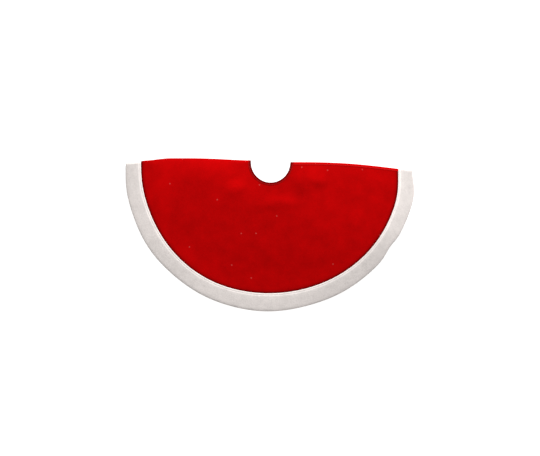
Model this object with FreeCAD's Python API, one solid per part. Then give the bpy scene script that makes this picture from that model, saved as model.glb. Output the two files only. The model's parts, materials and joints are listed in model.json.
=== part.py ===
import FreeCAD, Part
import math
import os

# Felt tree skirt folded in half, millimetres, +Z up.
# The origin is the centre of the neck opening, on the surface that the skirt lies on.
# The fold and the slit lie along X at y = 0: the fold on x < 0, the slit's two edges on x > 0.
# The lower half rests on the surface. The upper half is its mirror image across the fold's axis.

# ---- driving dimensions ----
SKIRT_DIAMETER = 900.0
NECK_DIAMETER = 120.0
BORDER_WIDTH = 53.0
FELT_THICKNESS = 2.0
PLUSH_THICKNESS = 2.4
TAPE_THICKNESS = 0.6
BINDING_WIDTH = 9.0
LAYER_GAP = 0.4
RIM_WALL = 4.0

# ---- sewing ----
THREAD_WIDTH = 0.8
THREAD_HEIGHT = 0.4
BORDER_SEAM_INSET = 4.0
BORDER_SEAM_DEPTH = 0.9
BINDING_SEAM_INSET = 7.0

# ---- closures on the slit, and the care label ----
TAB_LENGTH = 38.0
TAB_WIDTH = 18.0
TAB_THICKNESS = 1.3
TAB_SEAM_INSET = 2.5
TAB_CORNER_RADIUS = 2.0
TAB_TO_BINDING = 1.0
TAB_CENTRES = {"neck": 110.0, "middle": 238.0, "hem": 366.0}
LABEL_LENGTH = 45.0
LABEL_WIDTH = 30.0
LABEL_THICKNESS = 0.3
LABEL_ANGLE = -16.0
LABEL_SEAM_INSET = 4.0
LABEL_SEAM_LENGTH = 28.0
LABEL_TO_BAND = 1.0

# ---- derived dimensions ----
R_SKIRT = SKIRT_DIAMETER / 2
R_NECK = NECK_DIAMETER / 2
R_BAND = R_SKIRT - BORDER_WIDTH
R_FELT_OUTER = R_SKIRT - RIM_WALL
R_FELT_INNER = R_NECK + TAPE_THICKNESS
R_BORDER_SEAM = R_BAND + BORDER_SEAM_INSET
R_BINDING_SEAM = R_NECK + BINDING_SEAM_INSET
HALF_HEIGHT = FELT_THICKNESS + 2 * PLUSH_THICKNESS
FOLD_AXIS_Z = HALF_HEIGHT + LAYER_GAP / 2
EDGE_GAP = LAYER_GAP / 2
FELT_BOTTOM = PLUSH_THICKNESS
FELT_TOP = FELT_BOTTOM + FELT_THICKNESS
TAPE_BOTTOM = FELT_BOTTOM - TAPE_THICKNESS
TAPE_TOP = FELT_TOP + TAPE_THICKNESS
UP = FreeCAD.Vector(0, 0, 1)


def box(x_span, y_span, z_span):
    """A box from three (low, high) spans."""
    low = FreeCAD.Vector(x_span[0], y_span[0], z_span[0])
    sizes = [span[1] - span[0] for span in (x_span, y_span, z_span)]
    return Part.makeBox(*sizes, low)


def half_ring(inner, outer, z_span, slit_inset=EDGE_GAP):
    """Half of a flat ring on y < 0, its slit side cut back from y = 0 by slit_inset."""
    low, high = z_span
    base = FreeCAD.Vector(0, 0, low)
    ring = Part.makeCylinder(outer, high - low, base, UP)
    ring = ring.cut(Part.makeCylinder(inner, high - low, base, UP))
    reach = 2 * outer
    fold_side = box((-reach, 0), (-reach, -EDGE_GAP), z_span)
    slit_side = box((0, reach), (-reach, -slit_inset), z_span)
    return ring.common(fold_side.fuse(slit_side)).removeSplitter()


def half_tube(inner, outer, x_span):
    """Half of a tube round the fold's axis, on the y > 0 side, closed back to the halves' edges."""
    length = x_span[1] - x_span[0]
    base = FreeCAD.Vector(x_span[0], 0, FOLD_AXIS_Z)
    along = FreeCAD.Vector(1, 0, 0)
    tube = Part.makeCylinder(outer, length, base, along)
    tube = tube.cut(box(x_span, (-2 * outer, 0), (FOLD_AXIS_Z - 2 * outer, FOLD_AXIS_Z + 2 * outer)))
    for side in (-1, 1):
        span = sorted((FOLD_AXIS_Z + side * inner, FOLD_AXIS_Z + side * outer))
        tube = tube.fuse(box(x_span, (-EDGE_GAP, 0), span))
    return tube.cut(Part.makeCylinder(inner, length, base, along)).removeSplitter()


def seam_grooves(height):
    """The two thread rings of the border seam, as deep as given from the band's two faces."""
    rings = []
    for z_span in ((0, height), (HALF_HEIGHT - height, HALF_HEIGHT)):
        rings.append(half_ring(R_BORDER_SEAM - THREAD_WIDTH / 2, R_BORDER_SEAM + THREAD_WIDTH / 2, z_span))
    return rings


def felt_panel():
    """Half of the felt disc, cut back on the slit side for the tape and for the band's closed end."""
    panel = half_ring(R_FELT_INNER, R_FELT_OUTER, (FELT_BOTTOM, FELT_TOP), EDGE_GAP + TAPE_THICKNESS)
    band_end = box((R_BAND, R_SKIRT), (-EDGE_GAP - PLUSH_THICKNESS, 0), (FELT_BOTTOM, FELT_TOP))
    return panel.cut(band_end)


def border_band():
    """Plush band, folded over the felt's rim and sewn through, with a sunk groove along each seam."""
    band = half_ring(R_BAND, R_SKIRT, (0, HALF_HEIGHT))
    for groove in seam_grooves(BORDER_SEAM_DEPTH):
        band = band.cut(groove)
    return band.cut(felt_panel())


def border_stitching():
    """Thread at the bottom of both grooves, below the plush surface."""
    floor = BORDER_SEAM_DEPTH
    lower, upper = seam_grooves(floor)
    keep = box((-R_SKIRT, R_SKIRT), (-R_SKIRT, 0), (floor - THREAD_HEIGHT, HALF_HEIGHT - floor + THREAD_HEIGHT))
    return Part.makeCompound([lower.common(keep), upper.common(keep)])


def opening_binding():
    """Tape folded over the felt's edge, round the neck and out along the slit to the band."""
    z_span = (TAPE_BOTTOM, TAPE_TOP)
    around = half_ring(R_NECK, R_NECK + BINDING_WIDTH, z_span)
    along = box((0, R_BAND), (-EDGE_GAP - BINDING_WIDTH, -EDGE_GAP), z_span)
    along = along.common(half_ring(R_NECK, R_BAND, z_span))
    return around.fuse(along).removeSplitter().cut(felt_panel())


def binding_stitching():
    """One line of thread on each face of the tape, along its inner side."""
    half = THREAD_WIDTH / 2
    lines = []
    for z_span in ((TAPE_BOTTOM - THREAD_HEIGHT, TAPE_BOTTOM), (TAPE_TOP, TAPE_TOP + THREAD_HEIGHT)):
        inside = half_ring(R_BINDING_SEAM - half, R_BAND, z_span, BINDING_SEAM_INSET - half)
        beyond = half_ring(R_BINDING_SEAM + half, R_SKIRT, z_span, BINDING_SEAM_INSET + half)
        lines.append(inside.cut(beyond))
    return Part.makeCompound(lines)


def tab_spans(centre_x):
    """The X and Y spans of a closure tab, just inside the binding."""
    near_edge = -EDGE_GAP - BINDING_WIDTH - TAB_TO_BINDING
    x_span = (centre_x - TAB_LENGTH / 2, centre_x + TAB_LENGTH / 2)
    return x_span, (near_edge - TAB_WIDTH, near_edge)


def tab(centre_x, z_span):
    """A flat piece of closure tape with rounded corners."""
    x_span, y_span = tab_spans(centre_x)
    plate = box(x_span, y_span, z_span)
    upright = [edge for edge in plate.Edges if abs(edge.Length - TAB_THICKNESS) < 1e-6]
    return plate.makeFillet(TAB_CORNER_RADIUS, upright)


def tab_seams(z_span):
    """A rectangle of thread on the felt's far face, opposite each tab."""
    seams = []
    for centre_x in TAB_CENTRES.values():
        x_span, y_span = tab_spans(centre_x)
        outside = [(span[0] + TAB_SEAM_INSET, span[1] - TAB_SEAM_INSET) for span in (x_span, y_span)]
        inside = [(span[0] + THREAD_WIDTH, span[1] - THREAD_WIDTH) for span in outside]
        seams.append(box(*outside, z_span).cut(box(*inside, z_span)))
    return Part.makeCompound(seams)


def on_label(radial_span, across_span, z_span):
    """A box on the care label's own radial line, near the band."""
    piece = box(radial_span, across_span, z_span)
    piece.rotate(FreeCAD.Vector(0, 0, 0), UP, LABEL_ANGLE)
    return piece


def care_label():
    """Blank satin label sewn to the felt's wrong side, just inside the band."""
    end = R_BAND - LABEL_TO_BAND
    across = (-LABEL_WIDTH / 2, LABEL_WIDTH / 2)
    return on_label((end - LABEL_LENGTH, end), across, (FELT_TOP, FELT_TOP + LABEL_THICKNESS))


def care_label_stitching():
    """One line of thread across the label's sewn end."""
    line = R_BAND - LABEL_TO_BAND - LABEL_SEAM_INSET
    across = (-LABEL_SEAM_LENGTH / 2, LABEL_SEAM_LENGTH / 2)
    bottom = FELT_TOP + LABEL_THICKNESS
    return on_label((line - THREAD_WIDTH, line), across, (bottom, bottom + THREAD_HEIGHT))


def folded_twin(shape):
    """The upper half's copy of a lower piece: its mirror image across the fold axis's level."""
    return shape.mirror(FreeCAD.Vector(0, 0, FOLD_AXIS_Z), UP)


def lower_half():
    """Pieces of the half that rests on the surface, with the hook tabs on its show side."""
    nodes = {
        "lower_felt_panel": felt_panel(),
        "lower_border_band": border_band(),
        "lower_border_stitching": border_stitching(),
        "lower_opening_binding": opening_binding(),
        "lower_binding_stitching": binding_stitching(),
        "hook_tab_stitching": tab_seams((FELT_TOP, FELT_TOP + THREAD_HEIGHT)),
        "care_label": care_label(),
        "care_label_stitching": care_label_stitching(),
    }
    for place, centre_x in TAB_CENTRES.items():
        nodes["hook_tab_" + place] = tab(centre_x, (FELT_BOTTOM - TAB_THICKNESS, FELT_BOTTOM))
    return nodes


def upper_half():
    """Pieces of the half that turns over the fold, with the loop tabs on its wrong side."""
    nodes = {
        "upper_felt_panel": folded_twin(felt_panel()),
        "upper_border_band": folded_twin(border_band()),
        "upper_border_stitching": folded_twin(border_stitching()),
        "upper_opening_binding": folded_twin(opening_binding()),
        "upper_binding_stitching": folded_twin(binding_stitching()),
        "loop_tab_stitching": folded_twin(tab_seams((FELT_BOTTOM - THREAD_HEIGHT, FELT_BOTTOM))),
    }
    for place, centre_x in TAB_CENTRES.items():
        nodes["loop_tab_" + place] = folded_twin(tab(centre_x, (FELT_TOP, FELT_TOP + TAB_THICKNESS)))
    return nodes


def folds():
    """The bent strips that join the two halves along the fold: felt, band and neck tape."""
    outer = FOLD_AXIS_Z
    felt_far = FOLD_AXIS_Z - FELT_BOTTOM
    felt_near = FOLD_AXIS_Z - FELT_TOP
    felt = half_tube(felt_near, felt_far, (-R_FELT_OUTER, -R_FELT_INNER))
    band = half_tube(EDGE_GAP, outer, (-R_SKIRT, -R_BAND))
    neck_edge = (-R_NECK - BINDING_WIDTH, -R_NECK)
    binding = half_tube(felt_near - TAPE_THICKNESS, felt_far + TAPE_THICKNESS, neck_edge)
    return {
        "felt_fold": felt,
        "border_fold": band.cut(felt),
        "binding_fold": binding.cut(felt),
    }


def main():
    os.makedirs("parts", exist_ok=True)
    nodes = {**lower_half(), **upper_half(), **folds()}
    for name, shape in nodes.items():
        shape.exportStep("parts/" + name + ".step")
        span = shape.BoundBox
        print(f"{name:24s} solids {len(shape.Solids)} valid {shape.isValid()} "
              f"volume {shape.Volume:9.1f} z {span.ZMin:.2f} to {span.ZMax:.2f}")


main()
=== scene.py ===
import json
import math

import bmesh
import bpy
import numpy as np
from bpy.props import FloatProperty, FloatVectorProperty, IntProperty, PointerProperty
from bpy.types import Operator, Panel, PropertyGroup
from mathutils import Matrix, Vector, noise


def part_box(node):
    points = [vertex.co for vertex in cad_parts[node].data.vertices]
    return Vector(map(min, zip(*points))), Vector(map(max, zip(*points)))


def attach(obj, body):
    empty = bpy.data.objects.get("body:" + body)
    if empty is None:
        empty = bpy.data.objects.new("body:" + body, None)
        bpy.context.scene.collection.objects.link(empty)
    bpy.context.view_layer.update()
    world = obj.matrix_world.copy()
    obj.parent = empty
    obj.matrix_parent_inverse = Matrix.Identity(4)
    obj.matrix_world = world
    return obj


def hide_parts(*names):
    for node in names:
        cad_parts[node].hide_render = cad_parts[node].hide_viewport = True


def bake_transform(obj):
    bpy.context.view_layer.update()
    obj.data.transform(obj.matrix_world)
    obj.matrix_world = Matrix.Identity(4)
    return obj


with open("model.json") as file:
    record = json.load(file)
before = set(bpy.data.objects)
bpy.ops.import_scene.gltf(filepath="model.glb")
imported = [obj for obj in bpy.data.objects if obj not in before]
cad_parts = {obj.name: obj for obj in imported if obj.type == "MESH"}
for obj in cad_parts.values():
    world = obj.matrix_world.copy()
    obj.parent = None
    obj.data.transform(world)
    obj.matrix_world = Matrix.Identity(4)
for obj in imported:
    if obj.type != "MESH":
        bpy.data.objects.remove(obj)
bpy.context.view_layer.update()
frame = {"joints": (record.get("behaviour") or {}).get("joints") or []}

bl_info = {
    "name": "Felt tree skirt",
    "version": (1, 0, 0),
    "blender": (4, 5, 0),
    "location": "3D View > Sidebar > Tree skirt",
    "description": "Makes a folded felt tree skirt with a plush border, its sewing and its closures",
    "category": "Add Mesh",
}

# The skirt is cut and sewn flat, show side down, and folded last. In the flat layout x runs along
# the fold and the slit, y < 0 is the lower half, y from 0 to FOLD_STRIP is the cloth that goes round
# the fold, and y beyond it is the upper half. z is the cloth's thickness, negative on the show side.

# ---- sizes from the frame, in metres ----
MM = 0.001
LOWER_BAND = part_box("lower_border_band")
LOWER_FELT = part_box("lower_felt_panel")
LOWER_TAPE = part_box("lower_opening_binding")
SKIRT_RADIUS = LOWER_BAND[1].x
TAPE_END = LOWER_TAPE[1].x
BAND_RADIUS = TAPE_END
FELT_OUTER = LOWER_FELT[1].x
TAPE_REACH = -LOWER_TAPE[0].y
NECK_RADIUS = -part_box("binding_fold")[1].x
FELT_INNER = -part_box("felt_fold")[1].x
TAPE_WIDTH = TAPE_REACH - NECK_RADIUS
EDGE_GAP = -LOWER_FELT[1].y
FELT_HALF = (LOWER_FELT[1].z - LOWER_FELT[0].z) / 2
FELT_LEVEL = (LOWER_FELT[1].z + LOWER_FELT[0].z) / 2
BAND_HALF = (LOWER_BAND[1].z - LOWER_BAND[0].z) / 2
TAPE_HALF = (LOWER_TAPE[1].z - LOWER_TAPE[0].z) / 2
FOLD_AXIS_Z = frame["joints"][0]["pos_m"][2]
HALF_SPACING = FOLD_AXIS_Z - FELT_LEVEL

# ---- cut sizes that the frame doesn't give ----
SEAM_INSET = 4 * MM

# ---- how the cloth lies ----
# The fold: the cloth that goes round it, how far it puffs up, how far its nose stands past the axis,
# and how far back over the skirt the puff reaches.
FOLD_STRIP = 22 * MM
FOLD_SWELL = 1.9 * MM
FOLD_NOSE = 11 * MM
FOLD_REACH = 31 * MM
# How far the slit's corner droops, the border is set back at the fold, and the neck is drawn towards
# the slit and deeper.
SLIT_DROOP = 28.5 * MM
CORNER_DROOP = 8 * MM
NECK_SHIFT = 2 * MM
NECK_DEPTH = 2.2 * MM
# Where each of these takes hold, as (from, over) in metres from the middle, and over what angle.
DROOP_SPAN, DROOP_ANGLE = (0.09, 0.42), 0.55
CORNER_SPAN, CORNER_ANGLE = (0.385, 0.035), 0.3
NECK_SPAN = (NECK_RADIUS, 0.07)
HEM_SPAN = (0.4, 0.045)
SEAM_SPAN = (0.2, 0.2)
# Along the fold: where the puff grows, from the neck on, and where it dies away, before the border.
PUFF_SPAN = (0.04, 0.2)
SEWN_SPAN = (-0.394, 0.09)
# The wandering of the hem and of the border's seam: height in mm, waves per turn of the skirt, phase.
HEM_WAVES = ((1.2, 3, 0.4), (0.8, 7, 2.1), (0.5, 13, 0))
SEAM_WAVES = ((2.6, 4, -1.2292),)
# Where they stand out, or in if below 0: height in mm, and angle from the slit and reach in radians.
HEM_HUMPS = ((-15, 0, 0.12), (-7, math.pi, 0.16), (-6, 0.6, 0.08), (-4.5, 2.85, 0.3), (4, 1.6, 0.7))
SEAM_HUMPS = ((-3.5, 0, 0.12), (-2, math.pi, 0.12))
# The seam stands out by this from the slit's first angles to beyond the middle of the hem.
SEAM_OUT = 5 * MM
SEAM_OUT_SPAN, SEAM_BACK_SPAN = (0, 0.3), (1.9, 0.9)
LOWER, UPPER = "lower_half", "upper_half"
TAB_PLACES = ("neck", "middle", "hem")


def smooth(t):
    """0 below 0, 1 above 1, and an S curve between."""
    t = np.clip(t, 0, 1)
    return t * t * (3 - 2 * t)


def ease(value, span):
    """0 up to the span's start, 1 past its end, and an S curve between; a span is (start, length)."""
    start, length = span
    return smooth((value - start) / length)


def bump(t):
    """A round hump, 1 at 0 and almost 0 from 2 on."""
    return np.exp(-t * t)


# ---- the lie of the cloth: flat layout to folded skirt ----


def wander(angle, waves, humps):
    """How far an edge stands out of its circle; angle runs from the slit, 0, to the fold, pi."""
    change = sum(height * np.sin(count * angle + phase) for height, count, phase in waves)
    change = change + sum(height * bump((angle - at) / reach) for height, at, reach in humps)
    return change * MM


def seam_change(angle):
    """How far the border's seam stands in or out of its circle."""
    full = SEAM_OUT * ease(angle, SEAM_OUT_SPAN) * (1 - ease(angle, SEAM_BACK_SPAN))
    return wander(angle, SEAM_WAVES, SEAM_HUMPS) + full


def in_plane(x, y):
    """Where a point of one half lies, seen from above: the slit corner droops, the hem wanders, and
    the neck is drawn a little deeper and towards the slit."""
    radius = np.hypot(x, y)
    at_neck = 1 - ease(radius, NECK_SPAN)
    angle = np.arctan2(np.maximum(-y, 0), x)
    over = np.minimum(-y, 0)
    droop = SLIT_DROOP / SKIRT_RADIUS * ease(radius, DROOP_SPAN) * bump(angle / DROOP_ANGLE)
    at_fold = ease(radius, CORNER_SPAN) * bump((math.pi - angle) / CORNER_ANGLE)
    rim = ease(radius, HEM_SPAN)
    seam = ease(radius, SEAM_SPAN) * (1 - 0.8 * rim)
    radius = radius + rim * wander(angle, HEM_WAVES, HEM_HUMPS) + seam * seam_change(angle)
    angle = angle + droop
    far_x = radius * np.cos(angle) + NECK_SHIFT * at_neck
    depth = radius * np.sin(angle) + NECK_DEPTH * at_neck * np.sin(angle)
    return far_x, -depth - over - CORNER_DROOP * at_fold


def swell(x):
    """0 where the fold is held tight, at the neck and in the border, and most at -0.25."""
    return ease(-x, PUFF_SPAN) ** 0.8 * ease(x, SEWN_SPAN)


def fold_shape(x):
    """The fold's section at x: an ellipse's centre, half length and half height."""
    share = swell(x)
    centre = -FOLD_REACH * share
    length = HALF_SPACING + (FOLD_REACH + FOLD_NOSE - HALF_SPACING) * share
    return centre, length, HALF_SPACING + FOLD_SWELL * share


def half_height(x, y):
    """The felt's distance from the fold axis's level, on either half."""
    centre, length, height = fold_shape(np.minimum(x, 0))
    inside = np.clip((y - centre) / length, 0, 1)
    beyond = bump(np.minimum(y - centre, 0) / 0.05)
    return np.where(
        y > centre,
        height * np.sqrt(np.maximum(1 - inside * inside, 0)),
        HALF_SPACING + (height - HALF_SPACING) * beyond,
    )


# Soft dents and folds left from packing: x, y, length, width, turn in degrees, height, in mm.
UPPER_DENTS = (
    (-103, -84, 30, 15, 25, 2.5),
    (-112, -52, 26, 13, 25, -1.5),
    (25, -128, 60, 15, 4, 2.4),
    (95, -66, 30, 18, -35, 1.2),
    (88, -102, 30, 18, -30, -1.0),
    (140, -58, 34, 14, -12, 2.0),
    (-190, -150, 90, 34, 52, 1.4),
    (-255, -250, 70, 30, 40, -1.2),
    (-20, -260, 120, 36, -8, 1.3),
    (150, -210, 90, 32, -48, 1.5),
    (235, -120, 80, 30, -20, -1.3),
    (285, -210, 70, 26, -52, 1.2),
    (60, -330, 110, 26, 6, -1.1),
    (-330, -120, 60, 26, 75, 1.1),
)
LOWER_DENTS = (
    (-180, -160, 100, 40, 40, 0.8),
    (120, -220, 110, 38, -35, 0.7),
    (-40, -320, 120, 34, 5, -0.7),
    (260, -90, 70, 32, -20, 0.7),
)


# Pale patches on the felt, or dark if below 0, partly its brushed fibres and partly painted light and
# shade where the cloth's slopes face towards and away from the light: x, y, length, width, turn in
# degrees, strength.
NAP_AND_SHADE_STROKES = (
    (-97, -66, 50, 24, -12, 0.22),
    (22, -106, 66, 14, -8, 0.18),
    (97, -84, 34, 22, 12, -0.14),
    (135, -24, 52, 24, 0, 0.26),
    (-160, -14, 120, 34, -3, 0.26),
    (-325, -60, 66, 46, 80, 0.2),
    (52, -56, 22, 16, 60, -0.12),
    (285, -22, 70, 20, -6, 0.1),
    (270, -130, 74, 26, 75, 0.06),
    (196, -105, 46, 26, 70, 0.1),
    (110, -325, 90, 30, 20, -0.08),
    (240, -270, 90, 30, 42, -0.1),
    (-205, -308, 130, 26, -37, 0.13),
    (20, -250, 190, 100, 0, -0.1),
)
# Painted shade on the border's pile where it faces away from the light, in the same terms.
BORDER_SHADE_STROKES = (
    (325, -273, 81, 60, 50, -0.3),
    (212, -367, 118, 60, 30, -0.25),
    (-300, -300, 60, 60, -45, -0.12),
    (-423, -30, 50, 60, -86, -0.1),
)


def dents(x, y, rows):
    """The sum of soft dents at a point, in metres."""
    total = np.zeros_like(x)
    for at_x, at_y, length, width, turn, height in rows:
        cos, sin = math.cos(math.radians(turn)), math.sin(math.radians(turn))
        dx, dy = x / MM - at_x, y / MM - at_y
        along = (dx * cos + dy * sin) / length
        across = (dy * cos - dx * sin) / width
        total = total + height * MM * np.exp(-along * along - across * across)
    return total


def ripple(x, y, upper):
    """How far the felt stands off its level: nothing at the border and at the fold. Besides the dents
    it has two faint waves, some 350 mm and 130 mm long, bent by each other so that they don't repeat."""
    radius = np.hypot(x, y)
    long_wave = np.sin(x / 0.061 + 1.3 * np.sin(y / 0.083)) * np.sin(y / 0.047 + 0.8)
    short_wave = np.sin(x / 0.023 + 2 * np.sin(y / 0.037)) * np.sin(y / 0.019 + 1.7 * np.sin(x / 0.05))
    waves = (0.28 * long_wave + 0.12 * short_wave) * MM
    made = np.where(upper, dents(x, y, UPPER_DENTS) + waves, dents(x, y, LOWER_DENTS) + 0.5 * waves)
    off_border = 1 - smooth((radius - 0.355) / 0.035)
    off_fold = np.where(x < 0, smooth(-y / 0.03), 1)
    # Near the straight edge the binding and the tabs lie between the halves, and the felt sinks less.
    limit = 1.15 * MM + 1.1 * MM * smooth((-y - 0.035) / 0.03)
    return np.clip(made, -limit, 2.3 * MM) * off_border * off_fold


def middle(x, v):
    """Where a point of the flat layout's middle surface lies on the folded skirt."""
    upper = v > FOLD_STRIP / 2
    side = np.where(upper, 1.0, -1.0)
    y = np.where(upper, FOLD_STRIP - v, v)
    y = np.where(x < 0, np.minimum(y, 0), y)
    round_fold = (x < 0) & (v > 0) & (v < FOLD_STRIP)
    centre, length, height = fold_shape(x)
    most = np.arccos(np.clip(-centre / length, -1, 1))
    turn = np.clip(2 * v / FOLD_STRIP - 1, -1, 1) * most
    level = side * (half_height(x, y) + ripple(x, y, upper))
    far_x, far_y = in_plane(x, y)
    far_y = far_y + np.where(round_fold, centre + length * np.cos(turn), 0)
    level = np.where(round_fold, height * np.sin(turn), level)
    return np.stack([far_x, far_y, FOLD_AXIS_Z + level], axis=-1)


def folded(points):
    """Moves points of the flat layout to the folded skirt, each as far off the middle as it was."""
    x, v, off = points[:, 0], points[:, 1], points[:, 2]
    step = 0.05 * MM
    along = middle(x + step, v) - middle(x - step, v)
    across = middle(x, v + step) - middle(x, v - step)
    normal = np.cross(along, across)
    normal /= np.linalg.norm(normal, axis=1, keepdims=True)
    return middle(x, v) + normal * off[:, None]


def mesh_points(obj):
    """The piece's vertices as an array."""
    flat = np.empty(len(obj.data.vertices) * 3)
    obj.data.vertices.foreach_get("co", flat)
    return flat.reshape(-1, 3)


def set_points(obj, points):
    """Moves the piece's vertices."""
    obj.data.vertices.foreach_set("co", points.astype(np.float32).ravel())
    obj.data.update()


def keep_cut(obj):
    """Keeps what the cloth's patterns need for each point: its place in the flat layout, its distance
    from the middle of the skirt, and its patch tone, partly brushed fibres and partly painted light and
    shade, with painted shade along the fold's crease."""
    points = mesh_points(obj)
    place = obj.data.attributes.new("cut_place", "FLOAT_VECTOR", "POINT")
    place.data.foreach_set("vector", points.astype(np.float32).ravel())
    across = points[:, 1] - np.clip(points[:, 1], 0, FOLD_STRIP)
    reach = np.hypot(points[:, 0], across)
    radius = obj.data.attributes.new("cut_radius", "FLOAT", "POINT")
    radius.data.foreach_set("value", reach.astype(np.float32))
    on_felt = reach < BAND_RADIUS - 1 * MM
    # Patches of painted light and shade, on the felt partly also its brushed fibres; on the border
    # painted shade where it faces away from the light.
    tone_patches = np.where(
        on_felt,
        dents(points[:, 0], -across, NAP_AND_SHADE_STROKES),
        dents(points[:, 0], -across, BORDER_SHADE_STROKES),
    )
    tone_patches = np.where(points[:, 1] > FOLD_STRIP / 2, tone_patches / MM, 0)
    # Painted shade along the fold's crease.
    crease_shade = bump((points[:, 1] - FOLD_STRIP / 2) / (4 * MM)) * (points[:, 0] < 0) * on_felt
    nap = obj.data.attributes.new("nap", "FLOAT", "POINT")
    nap.data.foreach_set("value", (tone_patches - 0.5 * crease_shade).astype(np.float32))


def fold(obj):
    """Lays the piece on the folded skirt."""
    keep_cut(obj)
    set_points(obj, folded(mesh_points(obj)))


def fold_across(obj):
    """Folds a piece that crosses the fold. It bends between the halves over the fold strip only, so
    the bend is stated in the flat layout, where that strip is straight."""
    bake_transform(obj)
    fold(obj)


# ---- mesh building ----


def new_piece(name, points, faces):
    """A new object from points and faces, doubles merged and faces outwards."""
    mesh = bpy.data.meshes.new(name)
    mesh.from_pydata([tuple(p) for p in points], [], faces)
    obj = bpy.data.objects.new(name, mesh)
    bpy.context.scene.collection.objects.link(obj)
    shape = bmesh.new()
    shape.from_mesh(mesh)
    bmesh.ops.remove_doubles(shape, verts=shape.verts, dist=0.002 * MM)
    bmesh.ops.recalc_face_normals(shape, faces=shape.faces)
    shape.to_mesh(mesh)
    shape.free()
    return obj


def two_skinned(name, outer, inner, open_ends=True):
    """A closed strip of cloth from its two skins, each an array of columns by rows by 3. Its open
    ends get a wall between the skins; ends that are drawn together need none."""
    columns, rows = outer.shape[:2]
    points = np.concatenate([outer.reshape(-1, 3), inner.reshape(-1, 3)])

    def at(skin, column, row):
        return skin * columns * rows + column * rows + row

    faces = []
    for c in range(columns - 1):
        for r in range(rows - 1):
            for skin, order in ((0, 1), (1, -1)):
                quad = [at(skin, c, r), at(skin, c + 1, r), at(skin, c + 1, r + 1), at(skin, c, r + 1)]
                faces.append(quad[::order])
        for r, order in ((0, -1), (rows - 1, 1)):
            quad = [at(0, c, r), at(0, c + 1, r), at(1, c + 1, r), at(1, c, r)]
            faces.append(quad[::order])
    for c, order in ((0, 1), (columns - 1, -1)) if open_ends else ():
        for r in range(rows - 1):
            quad = [at(0, c, r), at(0, c, r + 1), at(1, c, r + 1), at(1, c, r)]
            faces.append(quad[::order])
    return new_piece(name, points, faces)


def round_columns(count, strip_count, first_angle):
    """The angle, side and shift across the fold of each column round the whole skirt: from the slit
    round the lower half, over the fold, and back round the upper half."""
    angles = np.linspace(first_angle, math.pi, count)
    strip = np.linspace(0, FOLD_STRIP, strip_count + 2)[1:-1]
    angle = np.concatenate([angles, np.full(strip_count, math.pi), angles[::-1]])
    sign = np.concatenate([-np.ones(count), np.zeros(strip_count), np.ones(count)])
    shift = np.concatenate([np.zeros(count), strip, np.full(count, FOLD_STRIP)])
    return angle, sign, shift


def on_ring(radius, angle, sign, shift):
    """Points of the flat layout at a radius on each column."""
    return radius * np.cos(angle), sign * radius * np.sin(angle) + shift


def ring_skin(section, columns):
    """A section of (radius, z) points carried round the skirt: columns by rows by 3."""
    angle, sign, shift = columns
    section = np.array(section)
    radius, level = section[:, 0], section[:, 1]
    x, v = on_ring(radius[None, :], angle[:, None], sign[:, None], shift[:, None])
    return np.stack([x, v, np.broadcast_to(level, x.shape)], axis=-1)


def select_facing(obj, direction):
    """Goes to edit mode with only the faces that look in a direction selected."""
    bpy.ops.object.mode_set(mode="EDIT")
    bpy.ops.mesh.select_all(action="DESELECT")
    bpy.ops.object.mode_set(mode="OBJECT")
    for face in obj.data.polygons:
        face.select = face.normal.dot(Vector(direction)) > 0.9
    bpy.ops.object.mode_set(mode="EDIT")


def take_shape(obj):
    """The points and faces of a model, whose object is deleted."""
    points = mesh_points(obj)
    faces = [list(face.vertices) for face in obj.data.polygons]
    bpy.data.objects.remove(obj)
    return points, faces


def roughen(obj, size, height, seed):
    """Gives the flat piece a fine lumpiness across its thickness, with nothing random."""
    points = mesh_points(obj)
    offset = Vector((seed, 2 * seed, 3 * seed))
    lumps = np.array([noise.noise(Vector(p) / size + offset) for p in points])
    # The lining lies within 1.3 mm of the middle and stays smooth.
    pile = smooth((np.abs(points[:, 2]) - 1.3 * MM) / (1 * MM))
    points[:, 2] += np.sign(points[:, 2]) * pile * (lumps - 0.7) * height
    set_points(obj, points)


def finish_piece(obj, materials, nodes, smooth_angle=50):
    """Materials, smooth shading, and hiding the CAD nodes that the piece stands for."""
    for material in materials:
        obj.data.materials.append(material)
    bpy.ops.object.select_all(action="DESELECT")
    obj.select_set(True)
    bpy.context.view_layer.objects.active = obj
    bpy.ops.object.shade_smooth_by_angle(angle=math.radians(smooth_angle))
    obj.select_set(False)
    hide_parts(*nodes)
    return obj


# ---- materials ----


def linear(hex_code):
    """An sRGB hex colour as linear RGBA."""
    out = []
    for i in (0, 2, 4):
        c = int(hex_code[i : i + 2], 16) / 255
        out.append(c / 12.92 if c <= 0.04045 else ((c + 0.055) / 1.055) ** 2.4)
    return (*out, 1.0)


def add_node(tree, kind, settings=None, values=None, links=None):
    """Adds a node; settings are its attributes, values its sockets, links socket to (node, output)."""
    node = tree.nodes.new(kind)
    for key, value in (settings or {}).items():
        setattr(node, key, value)
    for key, value in (values or {}).items():
        node.inputs[key].default_value = value
    for key, (source, output) in (links or {}).items():
        tree.links.new(source.outputs[output], node.inputs[key])
    return node


def new_material(name, base, rough, values):
    """A material with a Principled shader, its constants set on the shader; gives tree and shader."""
    material = bpy.data.materials.new(name)
    material.use_nodes = True
    tree = material.node_tree
    shader = tree.nodes["Principled BSDF"]
    shader.inputs["Base Color"].default_value = base
    shader.inputs["Roughness"].default_value = rough
    for key, value in values.items():
        shader.inputs[key].default_value = value
    material.diffuse_color = base
    return material, tree, shader


def ramp(tree, source, output, stops):
    """A colour ramp over (position, colour) stops."""
    node = add_node(tree, "ShaderNodeValToRGB", links={"Fac": (source, output)})
    marks = node.color_ramp.elements
    marks[0].position, marks[0].color = stops[0]
    marks[1].position, marks[1].color = stops[-1]
    for position, colour in stops[1:-1]:
        marks.new(position).color = colour
    return node


def grey(value):
    """An opaque grey."""
    return (value, value, value, 1.0)


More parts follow.
